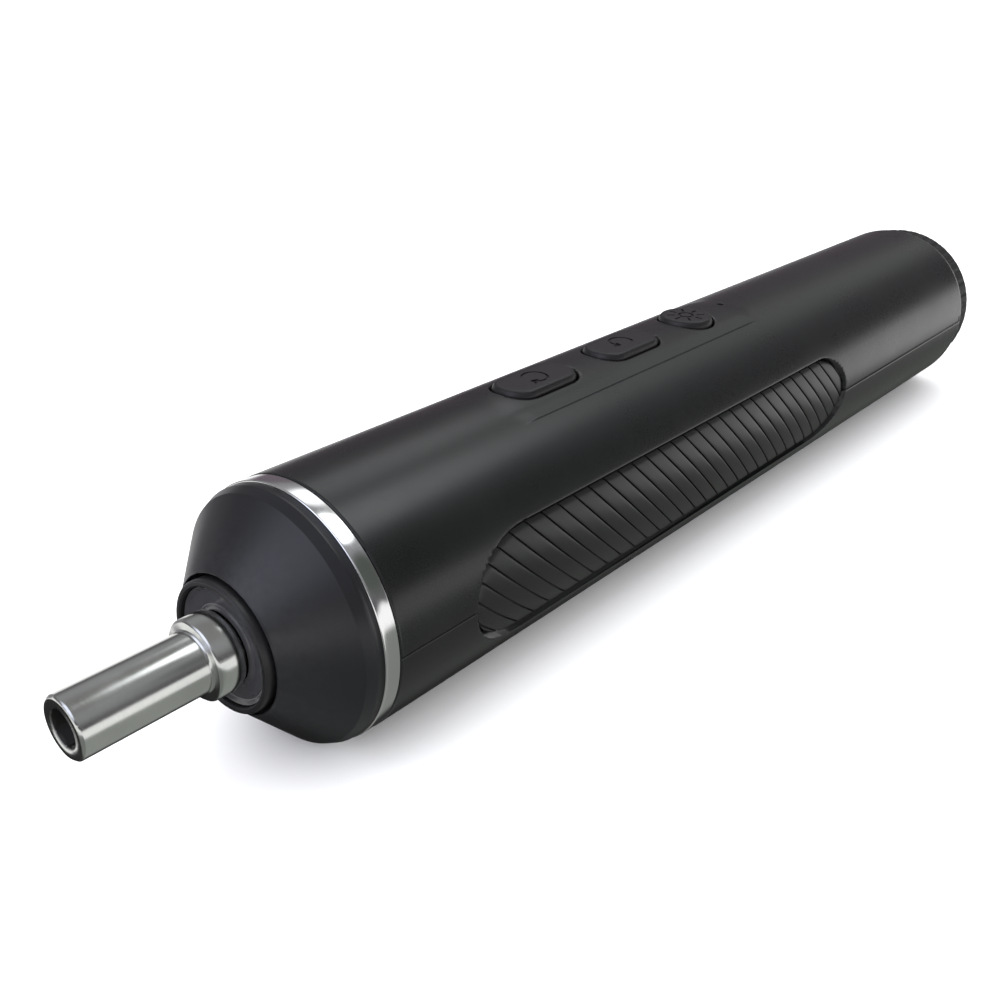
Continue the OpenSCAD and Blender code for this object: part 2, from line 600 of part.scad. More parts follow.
// ---------- tail ----------
module rear_board() {
  color("#1f5a3c") place() {
    box(165, 184.4, -7.4, 7.4, -1.8, -0.8);
    box(166, 171, -3, 3, -0.8, 0.2);
    box(172.5, 175, 3, 6, -0.8, 0);
    // position sensor for the torque ring
    box(176.3, 179.1, -5.6, -2.8, -0.8, 0.2);
  }
}
module usb_connector() {
  color("#a6abae") place() difference() {
    along(TAIL - 7.6) linear_extrude(7.35) translate([0, 0.82]) rrect(4.47, 1.6, 1.59);
    along(TAIL - 6) linear_extrude(7) translate([0, 0.82]) difference() { rrect(4.15, 1.28, 1.27); square([6.6, 0.7], center = true); }
  }
}
module tail_hub() {
  color("#333436") place() difference() {
    turned([[9.5, 174.8], [15.3, 174.8], [15.3, L - 2.55], [12, L - 2.55], [12, 185.3], [9.5, 185.3]]);
    for (s = [-1, 1]) cx(179.5, 186, 0.72, s*10.75);
    // radial seat of the detent
    translate([183, 0, 0]) cylinder(h = 13, r = 0.95);
  }
}
module end_cap() {
  color("#242528") place() difference() {
    union() {
      turned([[0, 185.55], [13.15, 185.55], [13.15, TAIL - 0.25], [12.9, TAIL], [0, TAIL]]);
      tube(182.6, 185.6, 9.4, 8.6);
    }
    along(184) linear_extrude(5) translate([0, 0.82]) rrect(4.75, 1.85, 1.84);
    for (s = [-1, 1]) { cx(184, 188, 0.8, s*10.75); along(TAIL - 0.9) translate([s*10.75, 0, 0]) cylinder(h = 0.95, r1 = 0.75, r2 = 1.5); }
    // the USB shell and the board end keep clear of the spigot
    box(182, 185.5, -8.4, 8.4, -2.2, 3);
  }
}
module end_cap_screws() {
  color("#6f7377") place() for (s = [-1, 1]) difference() {
    union() {
      cx(180, TAIL - 0.8, 0.68, s*10.75);
      along(TAIL - 0.85) translate([s*10.75, 0, 0]) cylinder(h = 0.8, r1 = 0.68, r2 = 1.38);
    }
    box(TAIL - 0.4, TAIL + 1, s*10.75 - 0.95, s*10.75 + 0.95, -0.16, 0.16);
    box(TAIL - 0.4, TAIL + 1, s*10.75 - 0.16, s*10.75 + 0.16, -0.95, 0.95);
  }
}
module torque_ring() {
  color("#232427") place() difference() {
    turned([[12.05, L + 0.35], [16.35, L + 0.35], [16.6, L + 0.6], [16.6, L + 4.2], [16.45, L + 5], [16, L + 5.9], [15.3, L + 6.6],
      [14.4, TAIL], [13.3, TAIL], [13.3, 185.4], [12.05, 185.4]]);
    for (a = [0:9:351]) rotate([a, 0, 0]) cx(L - 1, TAIL + 1, 0.95, 0, 17.3);
    // notches for the detent ball
    for (a = [0:15:345]) rotate([a, 0, 0]) cx(182.2, 183.8, 0.5, 0, 12.1);
  }
}
module torque_detent() {
  color("#9ea1a4") place() {
    translate([183, 0, 11.2]) sphere(r = 0.82, $fn = 32);
    for (k = [0:2]) translate([183, 0, 9.75 + 0.26*k]) rotate_extrude($fn = 32) translate([0.65, 0]) circle(r = 0.12, $fn = 16);
  }
}

// ---------- fasteners and leads ----------
module housing_screws() {
  color("#5f6265") place() for (x = SCREW_X, s = [-1, 1]) difference() {
    union() { post(x, s*SCREW_Y, -10.6, -9, 1.9); post(x, s*SCREW_Y, -9.1, 7, 1); }
    box(x - 1.4, x + 1.4, s*SCREW_Y - 0.25, s*SCREW_Y + 0.25, -11, -10);
    box(x - 0.25, x + 0.25, s*SCREW_Y - 1.4, s*SCREW_Y + 1.4, -11, -10);
  }
}
module motor_leads() {
  color("#b3302a") place() for (s = [-1, 1])
    wire([[57.4, s*6, 0.85], [58.6, s*5.6, 4], [62.3, s*2, 8.25]], 0.6);
}
module battery_leads() {
  color("#b3302a") place() {
    wire([[95.2, 1.2, 6], [94.6, 1.2, 7], [93.6, 1.2, 8.25]], 0.6);
    wire([[162.9, 1.2, 7.6], [162, 1.2, 9.2], [98, -1.2, 9.2], [95.05, -1.2, 9.2], [93.6, -1.2, 8.25]], 0.6);
  }
}
module led_lead() {
  color("#d8d8d8") place()
    wire([[-6.9, 0, 7.3], [-5.6, 0, 7.75], [1.5, 0, 7.75], [1.5, 0, 14.25], [34, 0, 14.25], [37.6, 0, 12.75]], 0.36);
}

upper_shell();
lower_shell();
nose_cone();
trim_ring();
front_bezel();
light_lens();
led_board();
front_bearing_outer();
front_bearing_balls();
front_bearing_inner();
spindle_seal();
spindle();
bit_magnet();
spindle_circlip();
gearbox_front_plate();
output_bush();
ring_gear();
gearbox_screws();
stage2_carrier();
stage2_planet_a();
stage2_planet_b();
stage2_planet_c();
stage1_carrier();
stage1_planet_a();
stage1_planet_b();
stage1_planet_c();
motor_plate();
motor_plate_screws();
motor_can();
motor_magnets();
motor_endbell();
motor_terminals();
armature();
armature_windings();
motor_pinion();
main_board();
tact_switches();
board_parts();
board_screws();
indicator_light_pipe();
forward_button();
reverse_button();
light_button();
grip_inlay_left();
grip_inlay_right();
battery_cell();
battery_tabs();
battery_cradle();
rear_board();
usb_connector();
tail_hub();
end_cap();
end_cap_screws();
torque_ring();
torque_detent();
housing_screws();
motor_leads();
battery_leads();
led_lead();
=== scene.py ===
import math
import bpy
import bmesh
import numpy as np
from mathutils import Matrix, Vector
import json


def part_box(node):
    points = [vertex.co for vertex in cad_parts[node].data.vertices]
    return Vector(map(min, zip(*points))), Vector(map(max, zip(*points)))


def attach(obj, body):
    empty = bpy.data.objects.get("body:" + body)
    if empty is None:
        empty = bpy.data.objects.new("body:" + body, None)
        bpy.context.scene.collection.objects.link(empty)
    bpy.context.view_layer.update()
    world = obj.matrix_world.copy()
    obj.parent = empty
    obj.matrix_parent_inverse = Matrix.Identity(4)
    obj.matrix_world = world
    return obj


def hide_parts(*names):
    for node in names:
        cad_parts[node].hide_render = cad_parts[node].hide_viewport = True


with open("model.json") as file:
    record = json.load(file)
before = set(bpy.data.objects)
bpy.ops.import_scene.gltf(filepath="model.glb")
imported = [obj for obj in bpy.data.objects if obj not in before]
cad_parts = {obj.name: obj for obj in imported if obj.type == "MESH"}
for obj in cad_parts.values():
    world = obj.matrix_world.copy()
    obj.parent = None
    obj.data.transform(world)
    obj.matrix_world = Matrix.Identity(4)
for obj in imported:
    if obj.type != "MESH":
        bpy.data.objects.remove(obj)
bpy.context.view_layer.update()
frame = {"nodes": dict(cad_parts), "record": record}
NODES = frame["nodes"]
BODY = {n: b for b, ns in frame["record"]["behaviour"]["bodies"].items() for n in ns}
SLOT = {s["node"]: s["material_slot"] for s in frame["record"]["subparts"]}

# The tool's own axes in mm: x along the axis from the front of the trim ring, z up from the axis.
lo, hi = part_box("spindle")
SX = lo.x * 1000 + 30.3
SZ = (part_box("torque_ring")[0].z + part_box("torque_ring")[1].z) * 500
AXIS_Z = SZ / 1000

# ---------------------------------------------------------------- mesh helpers


def make_mesh(name, verts, faces):
    """A mesh from points in the tool's mm."""
    v = np.asarray(verts, float).reshape(-1, 3)
    me = bpy.data.meshes.new(name)
    me.from_pydata([tuple(p) for p in v], [], faces)
    me.update()
    return me


def make_object(name, me):
    ob = bpy.data.objects.new(name, me)
    bpy.context.scene.collection.objects.link(ob)
    return ob


def wrap_grid(rings, cap_first=True, cap_last=True):
    """Faces of a closed body made of rings with the same number of points."""
    nr, n = len(rings), len(rings[0])
    faces = []
    for i in range(nr - 1):
        a, b = i * n, (i + 1) * n
        for k in range(n):
            k2 = (k + 1) % n
            faces.append((a + k, b + k, b + k2, a + k2))
    if cap_first:
        faces.append(tuple(range(n)))
    if cap_last:
        faces.append(tuple(range((nr - 1) * n, nr * n))[::-1])
    return faces


def fix_normals(me):
    bm = bmesh.new()
    bm.from_mesh(me)
    bmesh.ops.recalc_face_normals(bm, faces=bm.faces)
    bm.to_mesh(me)
    bm.free()


def fillet(pts, radii, seg=5):
    """Rounds the corners of an open outline of (x, r) points."""
    out = [np.array(pts[0], float)]
    for i in range(1, len(pts) - 1):
        p, a, b = (np.array(pts[j], float) for j in (i, i - 1, i + 1))
        rad = radii[i] if i < len(radii) else 0
        u, v = a - p, b - p
        lu, lv = np.linalg.norm(u), np.linalg.norm(v)
        if rad <= 0 or lu < 1e-6 or lv < 1e-6:
            out.append(p)
            continue
        u, v = u / lu, v / lv
        ang = math.acos(max(-1, min(1, float(u @ v))))
        if ang > math.pi - 0.02:
            out.append(p)
            continue
        t = min(rad / math.tan(ang / 2), lu * 0.49, lv * 0.49)
        r = t * math.tan(ang / 2)
        c = p + (u + v) / np.linalg.norm(u + v) * (r / math.sin(ang / 2))
        s, e = p + u * t, p + v * t
        a0 = math.atan2(*(s - c)[::-1])
        a1 = math.atan2(*(e - c)[::-1])
        d = (a1 - a0 + math.pi) % (2 * math.pi) - math.pi
        for k in range(seg + 1):
            q = a0 + d * k / seg
            out.append(c + r * np.array([math.cos(q), math.sin(q)]))
    out.append(np.array(pts[-1], float))
    return out


def lathe(name, pts, n=192, closed=False):
    """A solid turned about the tool's axis from (x, r) points. closed: a ring whose section is a loop."""
    a = np.linspace(0, 2 * math.pi, n, endpoint=False)
    rings = [np.stack([np.full(n, p[0]), p[1] * np.cos(a), p[1] * np.sin(a)], 1) for p in pts]
    if closed:
        faces = []
        m = len(rings)
        for i in range(m):
            a0, b0 = i * n, ((i + 1) % m) * n
            for k in range(n):
                k2 = (k + 1) % n
                faces.append((a0 + k, b0 + k, b0 + k2, a0 + k2))
    else:
        faces = wrap_grid(rings)
    me = make_mesh(name, np.concatenate(rings), faces)
    fix_normals(me)
    return me


def boolean(me_a, me_b, op, name):
    """One mesh out of two, both in mm."""
    a, b = make_object(name, me_a), make_object(name + "_cut", me_b)
    m = a.modifiers.new("b", "BOOLEAN")
    m.operation = op
    m.object = b
    m.solver = "MANIFOLD"
    bpy.context.view_layer.update()
    me = bpy.data.meshes.new_from_object(a.evaluated_get(bpy.context.evaluated_depsgraph_get()))
    if len(me.polygons) == 0:
        m.solver = "EXACT"
        bpy.context.view_layer.update()
        me = bpy.data.meshes.new_from_object(a.evaluated_get(bpy.context.evaluated_depsgraph_get()))
    bpy.data.objects.remove(a)
    bpy.data.objects.remove(b)
    return me


def cad_copy(node):
    """The CAD node's mesh as one closed mesh in the tool's mm."""
    me = NODES[node].data.copy()
    me.transform(Matrix.Translation((-SX, 0, -SZ)) @ Matrix.Scale(1000, 4))
    bm = bmesh.new()
    bm.from_mesh(me)
    bmesh.ops.remove_doubles(bm, verts=bm.verts, dist=2e-4)
    bmesh.ops.dissolve_degenerate(bm, edges=bm.edges, dist=1e-5)
    bm.to_mesh(me)
    bm.free()
    return me


def finish_piece(name, me, node, angle=32, slot=None):
    """Puts a mesh in mm into the frame as the piece that stands for a node."""
    me.transform(Matrix.Scale(0.001, 4) @ Matrix.Translation((SX, 0, SZ)))
    me.name = name
    me.materials.clear()
    for p in me.polygons:
        p.material_index = 0
    me.shade_smooth()
    me.set_sharp_from_angle(angle=math.radians(angle))
    ob = make_object(name, me)
    ob.data.materials.append(MATS[slot or SLOT[node]])
    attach(ob, BODY[node])
    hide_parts(node)
    return ob


# ---------------------------------------------------------------- materials
MATS = {}


class Tree:
    def __init__(self, name):
        self.mat = bpy.data.materials.new(name)
        self.mat.use_nodes = True
        self.t = self.mat.node_tree
        self.bsdf = self.t.nodes["Principled BSDF"]
        self.coord = self.t.nodes.new("ShaderNodeTexCoord")

    def node(self, kind, **kw):
        n = self.t.nodes.new(kind)
        for k, v in kw.items():
            setattr(n, k, v)
        return n

    def link(self, a, b):
        self.t.links.new(a, b)

    def noise(self, scale, detail=3.0, rough=0.5, vec=None, dist=0.0):
        n = self.node("ShaderNodeTexNoise")
        n.inputs["Scale"].default_value = scale
        n.inputs["Detail"].default_value = detail
        n.inputs["Roughness"].default_value = rough
        n.inputs["Distortion"].default_value = dist
        self.link(vec or self.coord.outputs["Object"], n.inputs["Vector"])
        return n.outputs["Fac"]

    def voronoi(self, scale, vec=None, feature="F1"):
        n = self.node("ShaderNodeTexVoronoi", feature=feature)
        n.inputs["Scale"].default_value = scale
        self.link(vec or self.coord.outputs["Object"], n.inputs["Vector"])
        return n.outputs["Distance"]

    def math(self, op, a, b=None, clamp=False):
        n = self.node("ShaderNodeMath", operation=op, use_clamp=clamp)
        for i, x in enumerate((a, b)):
            if x is None:
                continue
            if isinstance(x, (int, float)):
                n.inputs[i].default_value = x
            else:
                self.link(x, n.inputs[i])
        return n.outputs[0]

    def span(self, fac, a, b, lo=0.0, hi=1.0):
        """fac from lo..hi to a..b."""
        n = self.node("ShaderNodeMapRange")
        n.inputs["From Min"].default_value = lo
        n.inputs["From Max"].default_value = hi
        n.inputs["To Min"].default_value = a
        n.inputs["To Max"].default_value = b
        self.link(fac, n.inputs["Value"])
        return n.outputs["Result"]

    def ramp(self, fac, stops):
        n = self.node("ShaderNodeValToRGB")
        e = n.color_ramp.elements
        while len(e) < len(stops):
            e.new(0.5)
        for i, (p, c) in enumerate(stops):
            e[i].position = p
            e[i].color = (*c, 1)
        self.link(fac, n.inputs["Fac"])
        return n.outputs["Color"]

    def mix(self, fac, a, b):
        n = self.node("ShaderNodeMix", data_type="RGBA")
        self.link(fac, n.inputs["Factor"])
        for i, x in ((6, a), (7, b)):
            if isinstance(x, tuple):
                n.inputs[i].default_value = (*x, 1)
            else:
                self.link(x, n.inputs[i])
        return n.outputs[2]

    def bump(self, height, dist, strength=1.0, after=None):
        n = self.node("ShaderNodeBump")
        n.inputs["Distance"].default_value = dist
        n.inputs["Strength"].default_value = strength
        self.link(height, n.inputs["Height"])
        if after is not None:
            self.link(after, n.inputs["Normal"])
        return n.outputs["Normal"]

    def axis_coords(self, kx, ka):
        """(x * kx, and the angle about the tool's axis as a point on a circle of radius ka) for marks that run round a
        turned part.
        """
        s = self.node("ShaderNodeSeparateXYZ")
        self.link(self.coord.outputs["Object"], s.inputs[0])
        z = self.math("SUBTRACT", s.outputs[2], AXIS_Z)
        ang = self.math("ARCTAN2", s.outputs[1], z)
        c = self.node("ShaderNodeCombineXYZ")
        self.link(self.math("MULTIPLY", s.outputs[0], kx), c.inputs[0])
        # the angle as a point on a circle, so that there is no seam
        self.link(self.math("MULTIPLY", self.math("COSINE", ang), ka), c.inputs[1])
        self.link(self.math("MULTIPLY", self.math("SINE", ang), ka), c.inputs[2])
        return c.outputs[0]

    def attribute(self, name):
        n = self.node("ShaderNodeAttribute", attribute_name=name, attribute_type="GEOMETRY")
        return n.outputs["Fac"]

    def set(self, color=None, rough=None, normal=None, **consts):
        if color is not None:
            if isinstance(color, tuple):
                self.bsdf.inputs["Base Color"].default_value = (*color, 1)
            else:
                self.link(color, self.bsdf.inputs["Base Color"])
        if rough is not None:
            if isinstance(rough, float):
                self.bsdf.inputs["Roughness"].default_value = rough
            else:
                self.link(rough, self.bsdf.inputs["Roughness"])
        if normal is not None:
            self.link(normal, self.bsdf.inputs["Normal"])
        for k, v in consts.items():
            self.bsdf.inputs[k.replace("_", " ")].default_value = v
        return self.mat


def plastic(name, base, rough=(0.36, 0.46), grain=9000, depth=2.2e-6, edge=(0.03, 0.03, 0.031), ior=1.5, edge_highlight_and_oxide=True, **kw):
    """Moulded plastic: spark-eroded grain, slow blotches in gloss, faint scuffs, edges lightened by a painted edge
    highlight.
    """
    t = Tree(name)
    blotch = t.noise(55, 4, 0.55)
    fine = t.noise(grain, 2, 0.6)
    cells = t.voronoi(grain * 0.55)
    scuff = t.noise(420, 5, 0.75, dist=0.6)
    dark, light = tuple(c * 0.86 for c in base), tuple(c * 1.16 for c in base)
    col = t.ramp(blotch, [(0.3, dark), (0.7, light)])
    col = t.mix(t.span(scuff, 0.0, 0.22, 0.62, 0.82), col, tuple(min(1, c * 1.35 + 0.001) for c in base))
    r = t.span(blotch, rough[0], rough[1], 0.3, 0.7)
    r = t.math("ADD", r, t.span(scuff, -0.01, 0.02, 0.3, 0.75))
    r = t.math("ADD", r, t.span(fine, -0.02, 0.02))
    if edge_highlight_and_oxide:
        # painted edge highlight: the stored mask mixes in the lighter edge colour and lowers roughness a little
        e = t.attribute("edge_highlight_and_oxide")
        painted_edge_light = t.math("MULTIPLY", e, t.span(t.noise(900, 4, 0.7), 0.35, 1.0, 0.35, 0.6))
        col = t.mix(painted_edge_light, col, edge)
        r = t.math("SUBTRACT", r, t.math("MULTIPLY", painted_edge_light, 0.07))
    h = t.math("ADD", t.math("MULTIPLY", fine, 0.6), t.math("MULTIPLY", cells, 0.4))
    n = t.bump(h, depth)
    n = t.bump(t.noise(110, 2, 0.5), 1.4e-5, 0.5, n)
    t.set(col, r, n, IOR=ior, **kw)
    MATS[name] = t.mat
    return t.mat


def rubber(name, base, rough=(0.5, 0.62), grain=7000, depth=4e-6, **kw):
    t = Tree(name)
    blotch = t.noise(80, 4, 0.6)
    fine = t.noise(grain, 3, 0.65)
    dust = t.noise(1500, 6, 0.8)
    col = t.ramp(blotch, [(0.3, tuple(c * 0.85 for c in base)), (0.7, tuple(c * 1.15 for c in base))])
    col = t.mix(t.span(dust, 0.0, 0.3, 0.6, 0.85), col, tuple(c * 1.5 + 0.001 for c in base))
    r = t.math("ADD", t.span(blotch, rough[0], rough[1], 0.3, 0.7), t.span(fine, -0.03, 0.03))
    n = t.bump(fine, depth)
    n = t.bump(t.noise(260, 2, 0.5), 9e-6, 0.4, n)
    t.set(col, r, n, **kw)
    MATS[name] = t.mat
    return t.mat


def turned_metal(name, base, rough=(0.2, 0.3), lines=9000, depth=1.0e-6, stain=0.85, bore=False, **kw):
    """Lathe-turned metal: fine lines round the axis, slow changes of gloss, faint handling marks."""
    t = Tree(name)
    v = t.axis_coords(1.0, 0.0007)
    line = t.noise(lines, 4, 0.7, vec=v)
    wide = t.noise(lines * 0.12, 3, 0.6, vec=v)
    hand = t.noise(140, 4, 0.6)
    scratch = t.noise(2600, 6, 0.85, dist=1.2)
    col = t.ramp(hand, [(0.25, tuple(c * stain for c in base)), (0.7, base)])
    col = t.mix(t.span(line, 0.0, 0.25, 0.45, 0.8), col, tuple(c * 0.8 for c in base))
    r = t.math("ADD", t.span(hand, rough[0], rough[1], 0.3, 0.7), t.span(line, -0.04, 0.05, 0.3, 0.7))
    r = t.math("ADD", r, t.span(scratch, 0.0, 0.06, 0.62, 0.8))
    n = t.bump(line, depth)
    n = t.bump(wide, depth * 2.5, 0.6, n)
    if bore:
        # dark oxide and old grease inside the socket
        inside = t.attribute("edge_highlight_and_oxide")
        col = t.mix(inside, col, (0.035, 0.034, 0.033))
        r = t.math("ADD", r, t.math("MULTIPLY", inside, 0.3))
    t.set(col, r, n, Metallic=1.0, **kw)
    MATS[name] = t.mat
    return t.mat


def plain_metal(name, base, rough=(0.28, 0.42), grain=1800, depth=3e-6):
    t = Tree(name)
    slow = t.noise(160, 4, 0.6)
    fine = t.noise(grain, 4, 0.65)
    col = t.ramp(slow, [(0.3, tuple(c * 0.82 for c in base)), (0.7, base)])
    r = t.math("ADD", t.span(slow, rough[0], rough[1], 0.3, 0.7), t.span(fine, -0.04, 0.04))
    t.set(col, r, t.bump(fine, depth), Metallic=1.0)
    MATS[name] = t.mat
    return t.mat


# edge: the lighter colour of each plastic's painted edge highlight
plastic("shell_plastic", (0.0046, 0.0050, 0.0050), (0.26, 0.31), edge=(0.016, 0.016, 0.0165))
plastic("nose_plastic", (0.0050, 0.0052, 0.0066), (0.34, 0.40), grain=8000, edge=(0.018, 0.018, 0.020))
plastic("cap_plastic", (0.0055, 0.0057, 0.0060), (0.42, 0.50), edge=(0.016, 0.016, 0.0165))
plastic("ring_plastic", (0.0032, 0.0032, 0.0034), (0.58, 0.66), edge=(0.016, 0.016, 0.0165))
plastic("inner_plastic", (0.022, 0.022, 0.024), (0.4, 0.5), edge_highlight_and_oxide=False)
plastic("switch_plastic", (0.03, 0.03, 0.032), (0.35, 0.45), edge_highlight_and_oxide=False)
plastic("bezel_plastic", (0.0065, 0.0065, 0.0074), (0.38, 0.46), depth=5e-7, edge_highlight_and_oxide=False)
plastic("smoked_lens", (0.040, 0.040, 0.044), (0.12, 0.20), depth=4e-7, edge_highlight_and_oxide=False)
rubber("button_rubber", (0.0048, 0.0040, 0.0048), (0.40, 0.48), depth=2e-6)
rubber("grip_rubber", (0.0052, 0.0054, 0.0055), (0.32, 0.40), depth=2.5e-6)
rubber("seal_rubber", (0.008, 0.008, 0.008), (0.55, 0.65))
rubber("lead_insulation", (0.30, 0.02, 0.018), (0.45, 0.55))
turned_metal("trim_metal", (0.84, 0.845, 0.84), (0.10, 0.14), depth=5e-7, stain=0.93)
turned_metal("spindle_steel", (0.68, 0.69, 0.665), (0.14, 0.20), depth=5e-7, bore=True)
turned_metal("bearing_steel", (0.72, 0.73, 0.74), (0.12, 0.2))
plain_metal("magnet", (0.30, 0.30, 0.31))
plain_metal("dark_steel", (0.10, 0.10, 0.105), (0.35, 0.5))
plain_metal("plate_alloy", (0.50, 0.51, 0.52), (0.4, 0.55))
plain_metal("bush_bronze", (0.52, 0.33, 0.14), (0.4, 0.55))
plain_metal("gear_steel", (0.36, 0.35, 0.33), (0.38, 0.52))
plain_metal("gear_brass", (0.66, 0.48, 0.2), (0.28, 0.4))
plain_metal("motor_steel", (0.50, 0.51, 0.52), (0.3, 0.42))
plain_metal("contact_brass", (0.68, 0.50, 0.2), (0.25, 0.4))
plain_metal("winding_copper", (0.58, 0.20, 0.07), (0.3, 0.42))
plain_metal("contact_nickel", (0.58, 0.575, 0.56), (0.25, 0.36))


def circuit_board():
    t = Tree("circuit_board")
    weave = t.node("ShaderNodeTexWave", wave_type="BANDS", bands_direction="X")
    weave.inputs["Scale"].default_value = 700
    t.link(t.coord.outputs["Object"], weave.inputs["Vector"])
    tracks = t.voronoi(900)
    col = t.ramp(t.noise(120, 3), [(0.3, (0.006, 0.05, 0.022)), (0.7, (0.01, 0.075, 0.035))])
    col = t.mix(t.span(tracks, 0.0, 0.5, 0.1, 0.6), col, (0.02, 0.12, 0.05))
    t.set(col, t.span(t.noise(600, 3), 0.3, 0.42), t.bump(weave.outputs["Fac"], 4e-6))
    MATS["circuit_board"] = t.mat


def battery_wrap():
    t = Tree("battery_wrap")
    col = t.ramp(t.noise(70, 3), [(0.3, (0.012, 0.07, 0.16)), (0.7, (0.016, 0.09, 0.2))])
    t.set(col, t.span(t.noise(500, 4), 0.22, 0.36), t.bump(t.noise(350, 4, 0.7), 1.2e-5), Coat_Weight=0.4)
    MATS["battery_wrap"] = t.mat


circuit_board()
battery_wrap()

for node, ob in NODES.items():
    ob.data.materials.clear()
    ob.data.materials.append(MATS[SLOT[node]])
    ob.data.shade_smooth()
    ob.data.set_sharp_from_angle(angle=math.radians(30))

# ---------------------------------------------------------------- handle shells
R = 17.5
BTN = (47.6, 69.4)
LIGHT = 88.6
PIPE = 100.1
TAIL = 187.0
IN = 0.04  # the fine skin lies this far inside the CAD's facets


def smin(a, b, k):
    h = np.clip(0.5 + 0.5 * (b - a) / k, 0, 1)
    return b + (a - b) * h - k * h * (1 - h)


def smax(a, b, k):
    return -smin(-a, -b, k)


def step(x, a, b):
    t = np.clip((x - a) / (b - a), 0, 1)
    return t * t * (3 - 2 * t)


def sd_rrect(px, py, hl, hw, r):
    qx, qy = np.abs(px) - (hl - r), np.abs(py) - (hw - r)
    return np.hypot(np.maximum(qx, 0), np.maximum(qy, 0)) + np.minimum(np.maximum(qx, qy), 0) - r


def sd_grip(x, z, grow=0.6):
    """Distance from the grip's outline, seen from the side."""
    x0, x1, a0, a1, h = 16.3, 119.3, 10.3, 9.0, 7.45 + grow

    def ellipse(px, pz, a, b):
        k = np.sqrt((px / a) ** 2 + (pz / b) ** 2) + 1e-9
        g = np.sqrt((px / a ** 2) ** 2 + (pz / b ** 2) ** 2) / k + 1e-9
        return (k - 1) / g

    mid = np.abs(z) - h
    front = ellipse(x - (x0 + a0), z, a0 + grow, h)
    rear = ellipse(x - (x1 - a1), z, a1 + grow, h)
    return np.where(x < x0 + a0, front, np.where(x > x1 - a1, rear, mid))


def lip(d, width, depth):
    """How far the skin drops next to an edge, d from it."""
    t = np.clip(d / width, -0.6, 1)
    return depth * (1 - t) ** 2


def skin_radius(x, phi):
    """Radius of the shells' skin and how strong its painted edge highlight is. phi is from the top, positive to the
    near side.
    """
    c, s = np.cos(phi), np.sin(phi)
    r = np.full(np.broadcast(x, phi).shape, R - IN)
    # raised panel round the buttons
    crown = -3.0 * c + np.sqrt(np.maximum(20.6 ** 2 - (3.0 * s) ** 2, 0))
    crown = crown - 0.26 * (1 - step(x, 33, 40)) - 0.34 * step(x, 97, 107.5) - 0.23 * step(np.abs(phi), 0.26, 0.43)
    wall = 7.2 / np.maximum(np.abs(s) + 0.06 * c - 0.058, 0.02)
    front = (16.736 + 0.0251 * x) / np.maximum(0.3146 * np.abs(s) + 0.9489 * c, 0.05)
    rear = (25.051 - 0.075 * x) / np.maximum(0.3214 * np.abs(s) + 0.944 * c, 0.05)
    p = smin(crown, wall, 0.2)
    p = smin(p, smin(front, rear, 0.02), 0.08)
    p = np.where((np.abs(phi) < 0.9) & (x > 27) & (x < 108), p - IN, 0)
    r = np.where(p > 0, smax(r, p, 0.06), r)
    y, z = r * s, r * c
    top = np.abs(phi) < 0.6
    side = np.abs(np.abs(phi) - math.pi / 2) < 0.62
    # painted edge highlight round the key openings, along the grip outline and along the parting line
    edge_highlight_and_oxide = np.zeros_like(r)
    d = np.minimum(sd_rrect(x - BTN[0], y, 7.8, 4.15, 3.7), sd_rrect(x - BTN[1], y, 7.8, 4.15, 3.7))
    d = np.minimum(d, np.hypot(x - LIGHT, y) - 5.0)
    drop = np.where(top & (d < 0.22), lip(d, 0.22, 0.07), 0)
    edge_highlight_and_oxide = np.maximum(edge_highlight_and_oxide, np.where(top, np.clip(1 - np.abs(d - 0.1) / 0.25, 0, 1) * 0.12, 0))
    dp = np.hypot(x - PIPE, y) - 0.62
    drop = np.maximum(drop, np.where(top & (dp < 0.3), lip(dp, 0.3, 0.05), 0))
    g = sd_grip(x, z)
    drop = np.maximum(drop, np.where(side & (g < 0.3), lip(g, 0.3, 0.04), 0))
    edge_highlight_and_oxide = np.maximum(edge_highlight_and_oxide, np.where(side, np.clip(1 - np.abs(g - 0.2) / 0.3, 0, 1) * 0.03, 0))
    dz = np.where(side, np.abs(z) - 0.16, 9)
    drop = np.maximum(drop, np.where(dz < 0.18, lip(dz, 0.18, 0.04), 0))
    edge_highlight_and_oxide = np.maximum(edge_highlight_and_oxide, np.where(side, np.clip(1 - np.abs(dz - 0.1) / 0.2, 0, 1) * 0.03, 0))
    # the underside's flat
    flat = np.where(c < -0.9, (17.2 + 0.03) / np.maximum(-c, 0.05), 99)
    r = np.minimum(r, flat) - drop
    # rounded ends
    ef = np.clip(2.4 + 0.35 - x, 0, 0.35)
    r = r - (0.35 - np.sqrt(np.maximum(0.35 ** 2 - ef ** 2, 0)))
    L, er = 180.0, 1.75
    eb = np.clip(x - (L - er), 0, er)
    r = r - (er - np.sqrt(np.maximum(er ** 2 - eb ** 2, 0)))
    # painted edge highlight along the rounded rear end and near the front end
    edge_highlight_and_oxide = np.maximum(edge_highlight_and_oxide, np.clip(1 - np.abs(x - 179.1) / 1.0, 0, 1) * 0.04)
    edge_highlight_and_oxide = np.maximum(edge_highlight_and_oxide, np.clip(1 - np.abs(x - 2.6) / 0.3, 0, 1) * 0.15)
    return r, edge_highlight_and_oxide


def steps(*parts):
    out = []
    for a, b, s in parts:
        n = max(1, int(round((b - a) / s)))
        out += list(np.linspace(a, b, n, endpoint=False))
    out.append(parts[-1][1])
    return np.array(out)


